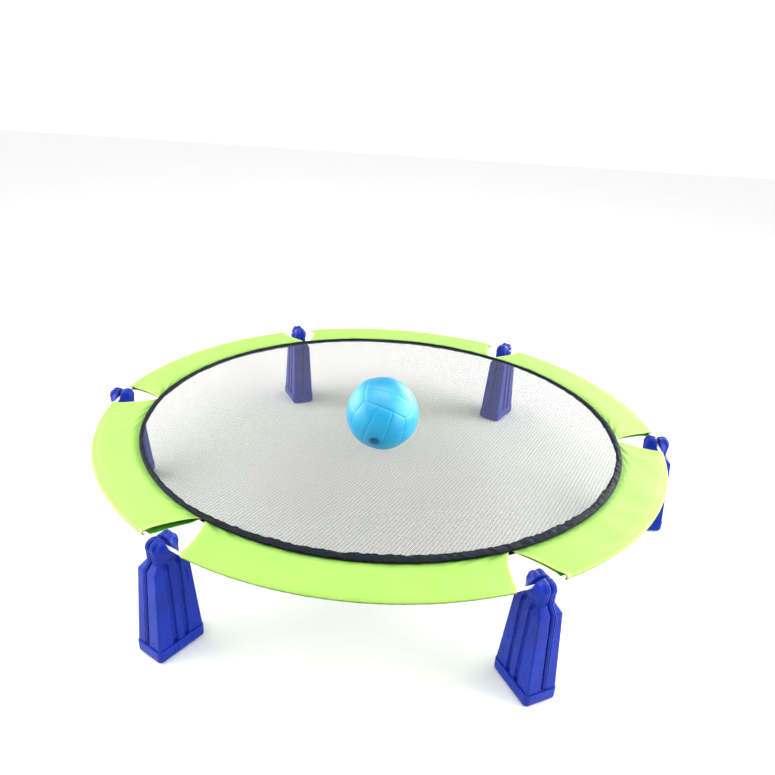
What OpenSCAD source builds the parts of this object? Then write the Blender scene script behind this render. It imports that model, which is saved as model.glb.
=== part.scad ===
// Roundnet set: a net stretched in a hoop that stands on six clip-on holders, with its ball.
// Millimetres, +Z up. The origin is on the ground, under the middle of the hoop.

/* [Hoop] */
// Outside diameter of the hoop, over its cloth sleeves
hoop_d = 900; // [720:10:1100]
// Diameter of the hoop wire
wire_d = 4; // [3:0.5:6]
// Height of the wire's centre above the ground
wire_h = 155; // [125:5:220]
// Length of the tube that joins the wire's two ends
ferrule_len = 50; // [30:5:80]
// Wall of the joining tube
ferrule_wall = 0.6; // [0.4:0.1:1]

/* [Cloth] */
// Width of a sleeve, from the hoop's outside to the binding
sleeve_w = 68; // [54:1:90]
// Thickness of one layer of sleeve cloth
cloth_t = 0.6; // [0.4:0.1:1.2]
// Width of the stitched hem where a sleeve's two layers meet
hem_w = 4; // [3:0.5:8]
// Width of the binding round the net
binding_w = 10; // [9:1:16]
// Thickness of the rolled binding
binding_t = 7; // [4:0.5:8]
// Half of the gap between two sleeves at the hoop
notch_hoop = 35; // [30:1:42]
// Half of the gap between two sleeves at the binding
notch_binding = 2; // [1:0.5:5]
// How far the edge of a notch bows into the sleeve
notch_bow = 4; // [2:0.5:6]
// Thickness of the net
net_t = 1; // [0.6:0.1:2]
// How far the middle of the net hangs below its rim
net_sag = 9; // [4:1:20]

/* [Holder] */
// Height of the foot
foot_h = 20; // [14:1:28]
// Length of the foot, measured out from the middle of the hoop
foot_w = 72; // [60:1:86]
// Thickness of the foot
foot_t = 45; // [40:1:54]
// Radius of the foot's upright corners
foot_corner_r = 6; // [5:1:16]
// Radius that turns the foot's sides under
foot_round_r = 7; // [4:1:12]
// Ledge that the foot leaves round the shell
foot_ledge = 1.8; // [1:0.2:3]
// Width of the shell at its shoulder
shoulder_w = 51; // [44:1:60]
// Thickness of the shell at its shoulder
shoulder_t = 34; // [28:1:38]
// Height of the wire above the shoulder
shoulder_drop = 27; // [25:1:32]
// Height of the wire above the bottom of the neck
neck_drop = 18; // [16:1:21]
// Width of the neck at its bottom
neck_w = 33; // [30:1:36]
// Thickness of the neck at its bottom
neck_t = 24; // [22:1:30]
// Thickness of the two ears at their tops
ear_t = 18; // [14:1:24]
// Height of the ears above the wire's centre
ear_rise = 10; // [9:1:16]
// Radius of an ear's round top
ear_r = 9; // [8:0.5:10]
// Radius of the round boss that carries the wire
boss_r = 16.5; // [14:0.5:18]
// Height of the wire above the middle of the boss
boss_drop = 5; // [3:1:7]
// Wall of the hollow parts
wall = 2; // [1.4:0.2:3]
// Width of the two channels down each broad face
channel_w = 5; // [3:0.5:7]
// Depth of the channels
channel_depth = 3; // [1:0.5:4]
// Distance of a channel from the middle of the face
channel_x = 8.5; // [7:0.5:11]

/* [Ball] */
// Diameter of the ball
ball_d = 110; // [90:1:130]
// Wall of the ball
ball_wall = 1.6; // [1.2:0.2:3]
// Place of the ball on the net, along X
ball_x = 6; // [-120:1:120]
// Place of the ball on the net, along Y
ball_y = -76; // [-120:1:120]
// Direction that the ball's valve faces, turned about Z
valve_turn = 264; // [0:1:359]
// Direction that the ball's valve faces, up or down from level
valve_tilt = -24; // [-60:1:60]
// Radius of the dish that the valve sits in
dish_r = 8; // [7:0.5:10]
// Depth of the valve's dish
dish_depth = 2.5; // [1.5:0.5:3]
// Length of the valve plug under its head
valve_len = 9; // [7:1:12]
// Diameter of the valve's needle hole
needle_d = 2.5; // [2:0.1:3]

/* [Clearances] */
// Gap between the wire and the tube or slot round it, each side
wire_fit = 0.2; // [0.1:0.05:0.3]
// Gap between the wire and its joining tube, each side
ferrule_fit = 0.05; // [0.02:0.01:0.1]
// Gap between neighbouring pieces of cloth
cloth_gap = 0.3; // [0.2:0.1:0.6]
// Gap between moulded pieces that plug together, each side
plug_fit = 0.15; // [0.1:0.05:0.3]
// Gap between the ball and the net
ball_gap = 0.3; // [0.2:0.1:1]

/* [Hidden] */
$fn = 96;
HOLDERS = 6;
PITCH = 360 / HOLDERS;

wire_r = wire_d / 2;
pocket_r = wire_r + ferrule_fit + ferrule_wall + wire_fit;
ring_r = hoop_d / 2 - pocket_r - cloth_t;
binding_r = hoop_d / 2 - sleeve_w;
net_r = binding_r - binding_w;
hem_gap = 0.4;
ferrule_angle = ferrule_len / ring_r * 180 / PI;
ferrule_at = 90;
big = 300;

// The edge of a notch is an arc through these two points, bowed by notch_bow
notch_a = [binding_r, notch_binding];
notch_b = [hoop_d / 2, notch_hoop];
notch_chord = norm(notch_b - notch_a);
notch_dir = (notch_b - notch_a) / notch_chord;
notch_r = notch_chord * notch_chord / (8 * notch_bow) + notch_bow / 2;
notch_centre = (notch_a + notch_b) / 2
    - [-notch_dir.y, notch_dir.x] * (notch_r - notch_bow);

// Heights and sizes of the holder
shoulder_z = wire_h - shoulder_drop;
neck_z = wire_h - neck_drop;
boss_z = wire_h - boss_drop;
ear_z = wire_h + ear_rise - ear_r;
ear_x = ear_r + 0.3;
shell_w = foot_w - 2 * foot_ledge;
shell_t = foot_t - 2 * foot_ledge;
cavity_z = shoulder_z - 4;
spigot_h = 10;
peg_r = 1.5;
peg_len = 5;
peg_root = 1;
peg_x = 9;
peg_z = neck_z + 3;
foot_base = 3;
spigot_wall = 1.5;
spigot_lean = (shell_w - shoulder_w) / 2 * spigot_h / (shoulder_z - foot_h);
pocket_side = wall + plug_fit + spigot_lean + spigot_wall;
pocket = [shell_w, shell_t] - 2 * [pocket_side, pocket_side + channel_depth];
slot_sweep = 10;

// The ball rests in the dip of the net
ball_r = ball_d / 2;
ball_reach = norm([ball_x, ball_y]);
ball_z = wire_h + net_t / 2 + ball_gap + ball_r + net_dip(ball_reach);
collar_r = dish_r + ball_wall;
valve_r = 4;
head_r = 6;
head_t = 1.5;
valve_top = ball_r - dish_depth;
collar_z = valve_top - head_t - valve_len;

// Height of the net's middle surface against its rim, at a distance from the hoop's axis
function net_dip(r) = -net_sag * (1 - pow(r / net_r, 2));

// Place one of the things that repeat round the hoop
module at_station(i, offset = 0) {
    rotate([0, 0, (i - 1) * PITCH + offset]) children();
}

// ---- Hoop, cloth and net ----

module hoop_wire() {
    color("whitesmoke") translate([0, 0, wire_h])
        rotate_extrude() translate([ring_r, 0]) circle(r = wire_r);
}

module hoop_ferrule() {
    color("silver") translate([0, 0, wire_h])
        rotate([0, 0, ferrule_at - ferrule_angle / 2])
            rotate_extrude(angle = ferrule_angle) translate([ring_r, 0]) difference() {
                circle(r = wire_r + ferrule_fit + ferrule_wall);
                circle(r = wire_r + ferrule_fit);
            }
}

// Outline of a strip of cloth that is thick round the wire and thin at its hem
module teardrop(hem_x, hem_half, wire_half) {
    lean = asin((wire_half - hem_half) / (ring_r - hem_x));
    side = [-sin(lean), cos(lean)];
    top_a = [ring_r, 0] + wire_half * side;
    top_b = [hem_x, 0] + hem_half * side;
    translate([ring_r, 0]) circle(r = wire_half);
    polygon([top_a, top_b, [top_b.x, -top_b.y], [top_a.x, -top_a.y]]);
}

// A notch between two sleeves, where two wide arcs cross at the binding
module notch() {
    translate([0, 0, -big / 2]) linear_extrude(big) intersection() {
        translate(notch_centre) circle(r = notch_r, $fn = 180);
        mirror([0, 1]) translate(notch_centre) circle(r = notch_r, $fn = 180);
    }
}

// One sleeve: two layers of cloth that wrap the wire and meet at the binding
module sleeve(i) {
    hem_x = binding_r + cloth_gap;
    color("yellowgreen") translate([0, 0, wire_h]) at_station(i) difference() {
        rotate_extrude(angle = PITCH) difference() {
            teardrop(hem_x, cloth_t, pocket_r + cloth_t);
            teardrop(hem_x + hem_w, hem_gap / 2, pocket_r);
        }
        notch();
        rotate([0, 0, PITCH]) notch();
    }
}

module net_binding() {
    half = binding_t / 2;
    color("midnightblue") translate([0, 0, wire_h]) rotate_extrude() {
        for (x = [net_r + half, binding_r - half]) translate([x, 0]) circle(r = half);
        translate([net_r + half, -half]) square([binding_w - binding_t, binding_t]);
    }
}

module net_mesh() {
    rim = net_r - cloth_gap;
    steps = 12;
    radii = [for (n = [0:steps]) rim * n / steps];
    color("gainsboro") translate([0, 0, wire_h]) rotate_extrude() polygon(concat(
        [for (r = radii) [r, net_dip(r) + net_t / 2]],
        [for (n = [steps:-1:0]) [radii[n], net_dip(radii[n]) - net_t / 2]]));
}

// ---- Holder, built with its broad faces towards +Y and -Y ----

// A prism that narrows from the foot to the shoulder, inset on each side
module taper_x(inset) {
    rotate([90, 0, 0]) linear_extrude(big, center = true) polygon([
        [-shell_w / 2 + inset, foot_h], [shell_w / 2 - inset, foot_h],
        [shoulder_w / 2 - inset, shoulder_z], [neck_w / 2 - inset, neck_z],
        [-neck_w / 2 + inset, neck_z], [-shoulder_w / 2 + inset, shoulder_z]]);
}

module taper_y(inset) {
    rotate([90, 0, 90]) linear_extrude(big, center = true) polygon([
        [-shell_t / 2 + inset, foot_h], [shell_t / 2 - inset, foot_h],
        [shoulder_t / 2 - inset, shoulder_z], [neck_t / 2 - inset, neck_z],
        [-neck_t / 2 + inset, neck_z], [-shoulder_t / 2 + inset, shoulder_z]]);
}

// The tapered body and its channels, inset from the outer faces on every side
module body(inset, top_z) {
    slab_w = channel_w + 2 * inset;
    difference() {
        intersection() {
            taper_x(inset);
            taper_y(inset);
            translate([-big / 2, -big / 2, foot_h]) cube([big, big, top_z - foot_h]);
        }
        difference() {
            for (side = [-1, 1])
                translate([side * channel_x - slab_w / 2, -big / 2, foot_h - 1])
                    cube([slab_w, big, shoulder_z + inset - foot_h + 1]);
            taper_y(channel_depth + inset);
        }
    }
}

// The neck and the two ears above it
module head() {
    intersection() {
        rotate([90, 0, 0]) linear_extrude(big, center = true) {
            for (side = [-1, 1]) translate([side * ear_x, ear_z]) circle(r = ear_r);
            polygon([
                [-neck_w / 2, neck_z], [neck_w / 2, neck_z],
                [ear_x + ear_r, ear_z], [-ear_x - ear_r, ear_z]]);
        }
        rotate([90, 0, 90]) linear_extrude(big, center = true) polygon([
            [-neck_t / 2, neck_z], [neck_t / 2, neck_z],
            [ear_t / 2, wire_h + ear_rise], [-ear_t / 2, wire_h + ear_rise]]);
    }
    translate([0, 0, boss_z]) sphere(r = boss_r);
}

// The slot that takes the wire, curved as the hoop is
module wire_slot() {
    half = wire_r + wire_fit;
    translate([-ring_r, 0, wire_h]) rotate([0, 0, -slot_sweep / 2])
        rotate_extrude(angle = slot_sweep) translate([ring_r, 0]) {
            circle(r = half);
            translate([-half, 0]) square([2 * half, 2 * ear_rise]);
        }
}

// Two locating pegs on the left shell, or with a fit their sockets in the right one
module pegs(fit) {
    for (side = [-1, 1])
        translate([side * peg_x, -peg_root, peg_z]) rotate([-90, 0, 0])
            cylinder(r = peg_r + fit, h = peg_root + peg_len + fit);
}

// Half of the moulded shell: side is 1 for the half towards +Y and -1 for the other
module half_shell(side) {
    color("royalblue") {
        difference() {
            body(0, neck_z);
            body(wall, cavity_z);
            half_space(-side);
        }
        difference() {
            head();
            wire_slot();
            half_space(-side);
            if (side > 0) pegs(plug_fit);
        }
        if (side < 0) pegs(0);
    }
}

// Everything on one side of the shell's parting plane
module half_space(side) {
    translate([-big / 2, side > 0 ? 0 : -big, -big / 2]) cube([big, big, 2 * big]);
}

// An upright block with round corners and its sides turned under at the ground
module foot_block() {
    intersection() {
        linear_extrude(foot_h) rounded(foot_w, foot_t, foot_corner_r);
        rotate([90, 0, 0]) linear_extrude(big, center = true) turned_under(foot_w);
        rotate([90, 0, 90]) linear_extrude(big, center = true) turned_under(foot_t);
    }
}

module rounded(w, t, r) {
    square([w - 2 * r, t], center = true);
    square([w, t - 2 * r], center = true);
    for (x = [-1, 1], y = [-1, 1]) translate([x * (w / 2 - r), y * (t / 2 - r)]) circle(r = r);
}

// Side view of the foot: its two lower corners are round
module turned_under(w) {
    r = foot_round_r;
    translate([-w / 2, r]) square([w, foot_h]);
    translate([-w / 2 + r, 0]) square([w - 2 * r, r]);
    for (side = [-1, 1]) translate([side * (w / 2 - r), r]) circle(r = r);
}

// The foot's spigot plugs into both halves of the shell and holds them together
module foot() {
    color("royalblue") difference() {
        union() {
            foot_block();
            body(wall + plug_fit, foot_h + spigot_h);
        }
        translate([0, 0, foot_base]) linear_extrude(big) square(pocket, center = true);
    }
}

module at_holder(i) {
    at_station(i) translate([ring_r, 0, 0]) children();
}

// ---- Ball, built with its valve facing +Z ----

module at_ball() {
    translate([ball_x, ball_y, ball_z]) rotate([0, 90 - valve_tilt, valve_turn]) children();
}

module ball_shell() {
    color("deepskyblue") at_ball() difference() {
        union() {
            difference() {
                sphere(r = ball_r);
                sphere(r = ball_r - ball_wall);
            }
            intersection() {
                sphere(r = ball_r - ball_wall / 2);
                translate([0, 0, collar_z]) cylinder(r = collar_r, h = ball_r);
            }
        }
        translate([0, 0, valve_top]) cylinder(r = dish_r, h = ball_r);
        translate([0, 0, valve_top - head_t - plug_fit])
            cylinder(r = head_r + plug_fit, h = ball_r);
        cylinder(r = valve_r + plug_fit, h = ball_r);
    }
}

// The soft plug that the inflating needle passes through
module ball_valve() {
    color("steelblue") at_ball() difference() {
        union() {
            translate([0, 0, valve_top - head_t]) cylinder(r = head_r, h = head_t);
            translate([0, 0, valve_top - head_t - valve_len])
                cylinder(r = valve_r, h = valve_len + head_t);
        }
        cylinder(r = needle_d / 2, h = ball_r);
    }
}

hoop_wire();
hoop_ferrule();
net_binding();
net_mesh();
ball_shell();
ball_valve();
for (i = [1:HOLDERS]) {
    sleeve(i);
    at_holder(i) half_shell(-1);
    at_holder(i) half_shell(1);
    at_holder(i) foot();
}
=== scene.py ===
"""The looks of the roundnet set: cloth sleeves, net, binding, moulded holders and an inflated ball."""
import math

import bpy
import numpy as np
from mathutils import Matrix, Vector, noise


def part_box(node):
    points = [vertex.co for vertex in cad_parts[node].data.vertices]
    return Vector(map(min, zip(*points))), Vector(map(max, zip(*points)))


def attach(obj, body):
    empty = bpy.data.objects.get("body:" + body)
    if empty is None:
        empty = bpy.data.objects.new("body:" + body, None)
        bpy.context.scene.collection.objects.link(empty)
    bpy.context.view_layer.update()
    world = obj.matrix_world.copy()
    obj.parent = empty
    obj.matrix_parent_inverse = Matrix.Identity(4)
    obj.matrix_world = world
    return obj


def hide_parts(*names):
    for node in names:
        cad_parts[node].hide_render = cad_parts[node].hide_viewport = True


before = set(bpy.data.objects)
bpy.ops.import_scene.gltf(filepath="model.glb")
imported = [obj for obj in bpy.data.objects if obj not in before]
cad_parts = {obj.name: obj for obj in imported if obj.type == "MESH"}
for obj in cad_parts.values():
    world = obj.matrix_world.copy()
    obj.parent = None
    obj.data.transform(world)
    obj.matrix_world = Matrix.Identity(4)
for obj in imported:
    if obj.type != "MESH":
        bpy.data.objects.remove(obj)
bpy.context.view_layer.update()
MM = 0.001
HOLDERS = 6
PITCH = 2 * math.pi / HOLDERS

# ---- Sizes taken from the frame ----
wire_low, wire_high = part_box("hoop_wire")
WIRE_R = (wire_high.z - wire_low.z) / 2
WIRE_H = (wire_high.z + wire_low.z) / 2
RING_R = wire_high.x - WIRE_R
HOOP_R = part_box("sleeve_2")[1].y
WRAP_R = HOOP_R - RING_R
tape_low, tape_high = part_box("net_binding")
TAPE_OUT = tape_high.x
TAPE_HALF = (tape_high.z - tape_low.z) / 2
BINDING_W = 0.010
NET_R = TAPE_OUT - BINDING_W
NET_SAG = WIRE_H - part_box("net_mesh")[0].z
foot_low, foot_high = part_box("holder_1_foot")
shell_low, shell_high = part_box("holder_1_left_shell")
ball_low, ball_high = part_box("ball_shell")
BALL_C = (ball_low + ball_high) / 2
BALL_R = (ball_high.x - ball_low.x) / 2
BALL_SWELL = 1.018
BALL_REACH = BALL_SWELL * BALL_R
valve_low, valve_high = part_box("ball_valve")
VALVE_DIR = ((valve_low + valve_high) / 2 - BALL_C).normalized()


# ---- Meshes ----
def add_piece(name, points, faces, body, smooth=True):
    """A mesh piece made of points and faces, in metres, riding on one CAD body."""
    mesh = bpy.data.meshes.new(name)
    mesh.from_pydata([tuple(p) for p in points], [], faces)
    mesh.update()
    piece = bpy.data.objects.new(name, mesh)
    bpy.context.collection.objects.link(piece)
    mesh.polygons.foreach_set("use_smooth", [smooth] * len(mesh.polygons))
    if body:
        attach(piece, body)
    return piece


def grid_faces(rows, columns, wrap_rows=False, wrap_columns=False):
    """Quads of a grid whose points run row by row."""
    faces = []
    for i in range(rows if wrap_rows else rows - 1):
        for j in range(columns if wrap_columns else columns - 1):
            a, b = i * columns, (i + 1) % rows * columns
            k = (j + 1) % columns
            faces.append((a + j, b + j, b + k, a + k))
    return faces


def add_uv(piece, uv):
    """Stores each point's place on the flat cloth, in metres, for the weave to follow."""
    layer = piece.data.uv_layers.new(name="Cloth")
    corners = np.zeros(len(piece.data.loops), np.int32)
    piece.data.loops.foreach_get("vertex_index", corners)
    layer.data.foreach_set("uv", np.asarray(uv, np.float32)[corners].ravel())


def add_painted_light(piece, colour):
    """Stores a red, green, blue and alpha at each point, for the material to mix its painted shade and
    highlights by.
    """
    layer = piece.data.color_attributes.new("Painted_light", "FLOAT_COLOR", "POINT")
    layer.data.foreach_set("color", colour.astype(np.float32).ravel())


def apply_modifiers(piece):
    """Turns a piece's modifiers into plain mesh."""
    graph = bpy.context.evaluated_depsgraph_get()
    mesh = bpy.data.meshes.new_from_object(piece.evaluated_get(graph))
    piece.modifiers.clear()
    piece.data = mesh


def smoothstep(low, high, x):
    t = np.clip((x - low) / (high - low), 0, 1)
    return t * t * (3 - 2 * t)


def wave_noise(x, y, seed, scale):
    """Smooth noise from -1 to 1 at each point of two arrays, the same on each run."""
    flat = [noise.noise(Vector((a * scale, b * scale, seed)))
            for a, b in zip(np.ravel(x), np.ravel(y))]
    return np.reshape(flat, np.shape(x)) * 2


# ---- Rounded solids from distance functions, for the moulded pieces ----
def round_max(a, b, r):
    """Where two shapes overlap, with the edge between them rounded to radius r."""
    inside = np.minimum(np.maximum(a, b) + r, 0)
    return inside + np.hypot(np.maximum(a + r, 0), np.maximum(b + r, 0)) - r


def round_min(a, b, r):
    """Two shapes joined, with a fillet of radius r between them."""
    return -round_max(-a, -b, r)


def surface_net(distance, low, high, step):
    """Points and quads of the surface where distance(x, y, z) is zero, in millimetres."""
    axes = [np.arange(low[k] - step, high[k] + 2 * step, step) for k in range(3)]
    grid = np.stack(np.meshgrid(*axes, indexing="ij"), -1)
    value = distance(grid[..., 0], grid[..., 1], grid[..., 2])
    cells = [n - 1 for n in value.shape]
    total, count = np.zeros(cells + [3]), np.zeros(cells)
    ids = np.arange(count.size).reshape(cells)
    quads = []
    for k in range(3):
        order = [k] + [m for m in range(3) if m != k]
        near, far = (np.transpose(value, order)[part] for part in (slice(None, -1), slice(1, None)))
        crossed = (near < 0) != (far < 0)
        share = np.where(crossed, near / np.where(crossed, near - far, 1), 0)
        spot = np.transpose(grid, order + [3])[:-1] + share[..., None] * step * np.eye(3)[k]
        view_total, view_count = np.transpose(total, order + [3]), np.transpose(count, order)
        view_ids = np.transpose(ids, order)
        rows, columns = view_count.shape[1:]
        for j, i in ((0, 0), (0, 1), (1, 0), (1, 1)):
            part = (slice(None), slice(j, j + rows), slice(i, i + columns))
            view_total += crossed[part][..., None] * spot[part]
            view_count += crossed[part]
        a, b, c = np.nonzero(crossed[:, 1:-1, 1:-1])
        ring = np.stack([view_ids[a, b, c], view_ids[a, b + 1, c],
                         view_ids[a, b + 1, c + 1], view_ids[a, b, c + 1]], 1)
        outward = (near[:, 1:-1, 1:-1][a, b, c] < 0) ^ (k == 1)
        quads.append(np.where(outward[:, None], ring, ring[:, ::-1]))
    used, quads = np.unique(np.concatenate(quads), return_inverse=True)
    points = total.reshape(-1, 3)[used] / count.reshape(-1)[used, None]
    nudge, least_slope = 0.05, 0.25
    for _ in range(3):
        here = distance(*points.T)
        slope = np.stack([(distance(*(points + nudge * np.eye(3)[k]).T) - here) / nudge
                          for k in range(3)], 1)
        size = np.maximum((slope ** 2).sum(1), least_slope)
        points -= np.clip(here / size, -step / 2, step / 2)[:, None] * slope
    return points, quads.reshape(-1, 4)


# ---- Moulded holders ----
# Sizes in the holder's own frame, in millimetres: x out from the hoop's middle, z up
FOOT_W, FOOT_T = ((foot_high - foot_low) / MM)[:2]
FOOT_H = shell_low.z / MM
FOOT_CORNER, FOOT_UNDER, FOOT_EDGE = 6, 7, 1.2
SPIGOT_TOP = foot_high.z / MM
SHELL_W = (shell_high.x - shell_low.x) / MM
SHELL_T = -2 * shell_low.y / MM
SHOULDER_W, SHOULDER_T, SHOULDER_Z = 51, 34, 128
NECK_W, NECK_T, NECK_Z = 33, 24, 137
EAR_TOP = shell_high.z / MM
EAR_R, EAR_X, EAR_T = 9, 9.3, 18
EAR_Z = EAR_TOP - EAR_R
BOSS_R, BOSS_Z = 16.5, WIRE_H / MM - 5
SHOULDER_EDGE, BLOCK_EDGE, NECK_EDGE, EAR_EDGE = 1.0, 2.4, 0.8, 4.5
EAR_FILLET, HEAD_FILLET, BOSS_FILLET = 1.5, 1.5, 2.2
NECK_ROOT, SPIGOT_ROOT = 4, 4
WALL, CAVITY_Z = 2, SHOULDER_Z - 4
CHANNEL_X, CHANNEL_W, CHANNEL_DEPTH = 8.5, 5, 3.5
CHANNEL_DRAFT, CHANNEL_BED, CHANNEL_END, CHANNEL_LIP = 0.3, 2.0, 1.5, 1.0
SLOT_R = WIRE_R / MM + 0.2
SLOT_LIP = 1.6
GROOVE_FLOOR, GROOVE_HALF, GROOVE_DEPTH = 0.3, 1.7, 1.8
RIB_HEIGHT, RIB_HALF, RIB_FLANK = 0.9, 0.8, 0.4
RIBS_AT = (3.4, 6.0)
RELIEF_FADE, EAR_RELIEF = 0.5, 0.7
PARTING_GAP, SPIGOT_CLEARANCE = 0.03, 0.15
FLANGE_TOP = FOOT_H + 1.5
POCKET_FLOOR, POCKET_WALL = 3, 4.5
SHELL_STEP, FOOT_STEP = 0.6, 0.8
SHELL_KEEP, FOOT_KEEP = 0.3, 0.2


def side_taper(across, z, foot_half, shoulder_half, neck_half):
    """Distance out from the shell's side, up to its shoulder and over it to its neck."""
    lean = math.atan2(foot_half - shoulder_half, SHOULDER_Z - FOOT_H)
    slope = math.atan2(NECK_Z - SHOULDER_Z, shoulder_half - neck_half)
    out, up = across - shoulder_half, z - SHOULDER_Z
    side = out * math.cos(lean) + up * math.sin(lean)
    top = out * math.sin(slope) + up * math.cos(slope)
    return round_max(side, top, SHOULDER_EDGE)


def edge_relief(y, ribbed):
    """How far the narrow faces stand out beside the parting line: its groove and the thin ribs."""
    y = abs(y)
    relief = -GROOVE_DEPTH * (1 - smoothstep(GROOVE_FLOOR, GROOVE_HALF, y))
    if ribbed:
        for at in RIBS_AT:
            fade = smoothstep(RIB_HALF - RIB_FLANK, RIB_HALF + RIB_FLANK, abs(y - at))
            relief = relief + RIB_HEIGHT * (1 - fade)
    return relief


def shell_body(x, y, z, relief=0):
    """The tapered body with its channels."""
    wide = side_taper(abs(x), z, SHELL_W / 2, SHOULDER_W / 2, NECK_W / 2) - relief
    thick = side_taper(abs(y), z, SHELL_T / 2, SHOULDER_T / 2, NECK_T / 2)
    block = round_max(wide, thick, BLOCK_EDGE)
    bed = thick + CHANNEL_DEPTH
    flank = abs(abs(x) - CHANNEL_X) - CHANNEL_W / 2 - CHANNEL_DRAFT * bed
    channel = round_max(flank, -bed, CHANNEL_BED)
    channel = round_max(channel, z - NECK_Z, CHANNEL_END)
    return round_max(block, -channel, CHANNEL_LIP)


def half_shell(x, y, z, ribbed):
    """One moulded half of the shell, on the side of y greater than zero."""
    above_flange = smoothstep(FLANGE_TOP - RELIEF_FADE, FLANGE_TOP + RELIEF_FADE, z)
    body = shell_body(x, y, z, edge_relief(y, ribbed) * above_flange)
    body = round_max(body, z - NECK_Z, NECK_EDGE)
    lean = math.atan2(EAR_X + EAR_R - NECK_W / 2, EAR_Z - NECK_Z)
    side = (abs(x) - NECK_W / 2) * math.cos(lean) - (z - NECK_Z) * math.sin(lean)
    neck = np.maximum(np.maximum(side, z - EAR_Z), NECK_Z - NECK_ROOT - z)
    ears = round_min(neck, np.hypot(abs(x) - EAR_X, z - EAR_Z) - EAR_R, EAR_FILLET)
    ears = ears - edge_relief(y, True) * EAR_RELIEF
    thin = math.atan2((NECK_T - EAR_T) / 2, EAR_TOP - NECK_Z)
    thick = (abs(y) - NECK_T / 2) * math.cos(thin) + (z - NECK_Z) * math.sin(thin)
    head = round_max(ears, thick, EAR_EDGE)
    boss = np.sqrt(x ** 2 + y ** 2 + (z - BOSS_Z) ** 2) - BOSS_R
    solid = round_min(round_min(body, head, HEAD_FILLET), boss, BOSS_FILLET)
    off_wire = np.hypot(x + RING_R / MM, y) - RING_R / MM
    slot = np.hypot(off_wire, np.minimum(z - WIRE_H / MM, 0)) - SLOT_R
    solid = round_max(solid, -slot, SLOT_LIP)
    cavity = np.maximum(shell_body(x, y, z) + WALL, z - CAVITY_Z)
    solid = np.maximum(solid, -cavity)
    return np.maximum(np.maximum(solid, FOOT_H - z), PARTING_GAP - y)


def foot_block(x, y, z):
    """The foot, with its flange, the sides turned under, and the spigot that the shell plugs onto."""
    out_x = abs(x) - FOOT_W / 2 + FOOT_CORNER
    out_y = abs(y) - FOOT_T / 2 + FOOT_CORNER
    outline = (np.hypot(np.maximum(out_x, 0), np.maximum(out_y, 0))
               + np.minimum(np.maximum(out_x, out_y), 0) - FOOT_CORNER)
    block = round_max(round_max(outline, -z, FOOT_UNDER), z - FOOT_H, FOOT_EDGE)
    shell = shell_body(x, y, z)
    spigot = np.maximum(shell + WALL + SPIGOT_CLEARANCE, z - SPIGOT_TOP)
    spigot = np.maximum(spigot, FOOT_H - SPIGOT_ROOT - z)
    pocket = np.maximum(shell + POCKET_WALL, POCKET_FLOOR - z)
    return np.maximum(np.minimum(block, spigot), -pocket)


def moulding(distance, low, high, step, keep):
    """Points and faces of a moulded piece, thinned where it is nearly flat."""
    points, quads = surface_net(distance, low, high, step)
    piece = add_piece("Moulding", points, quads.tolist(), None)
    piece.modifiers.new("Thin", "DECIMATE").ratio = keep
    apply_modifiers(piece)
    flat = np.zeros(3 * len(piece.data.vertices))
    piece.data.vertices.foreach_get("co", flat)
    faces = [tuple(face.vertices) for face in piece.data.polygons]
    bpy.data.objects.remove(piece)
    return flat.reshape(-1, 3), faces


def put_moulding(node, body, shape, station, side):
    """A moulded piece in its place round the hoop. side is -1 for the half towards minus y."""
    points, faces = shape
    if side < 0:
        faces = [face[::-1] for face in faces]
    x, y = points[:, 0] + RING_R / MM, points[:, 1] * side
    c, s = math.cos(station * PITCH), math.sin(station * PITCH)
    placed = np.stack([x * c - y * s, x * s + y * c, points[:, 2]], 1) * MM
    piece = add_piece("Moulded_" + node, placed, faces, body)
    piece.modifiers.new("Flat_shading", "WEIGHTED_NORMAL")
    apply_modifiers(piece)
    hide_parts(node)
    finish_with(piece, plastic)


def finish_with(piece, material):
    """Gives a piece its material."""
    piece.data.materials.append(material)


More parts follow.
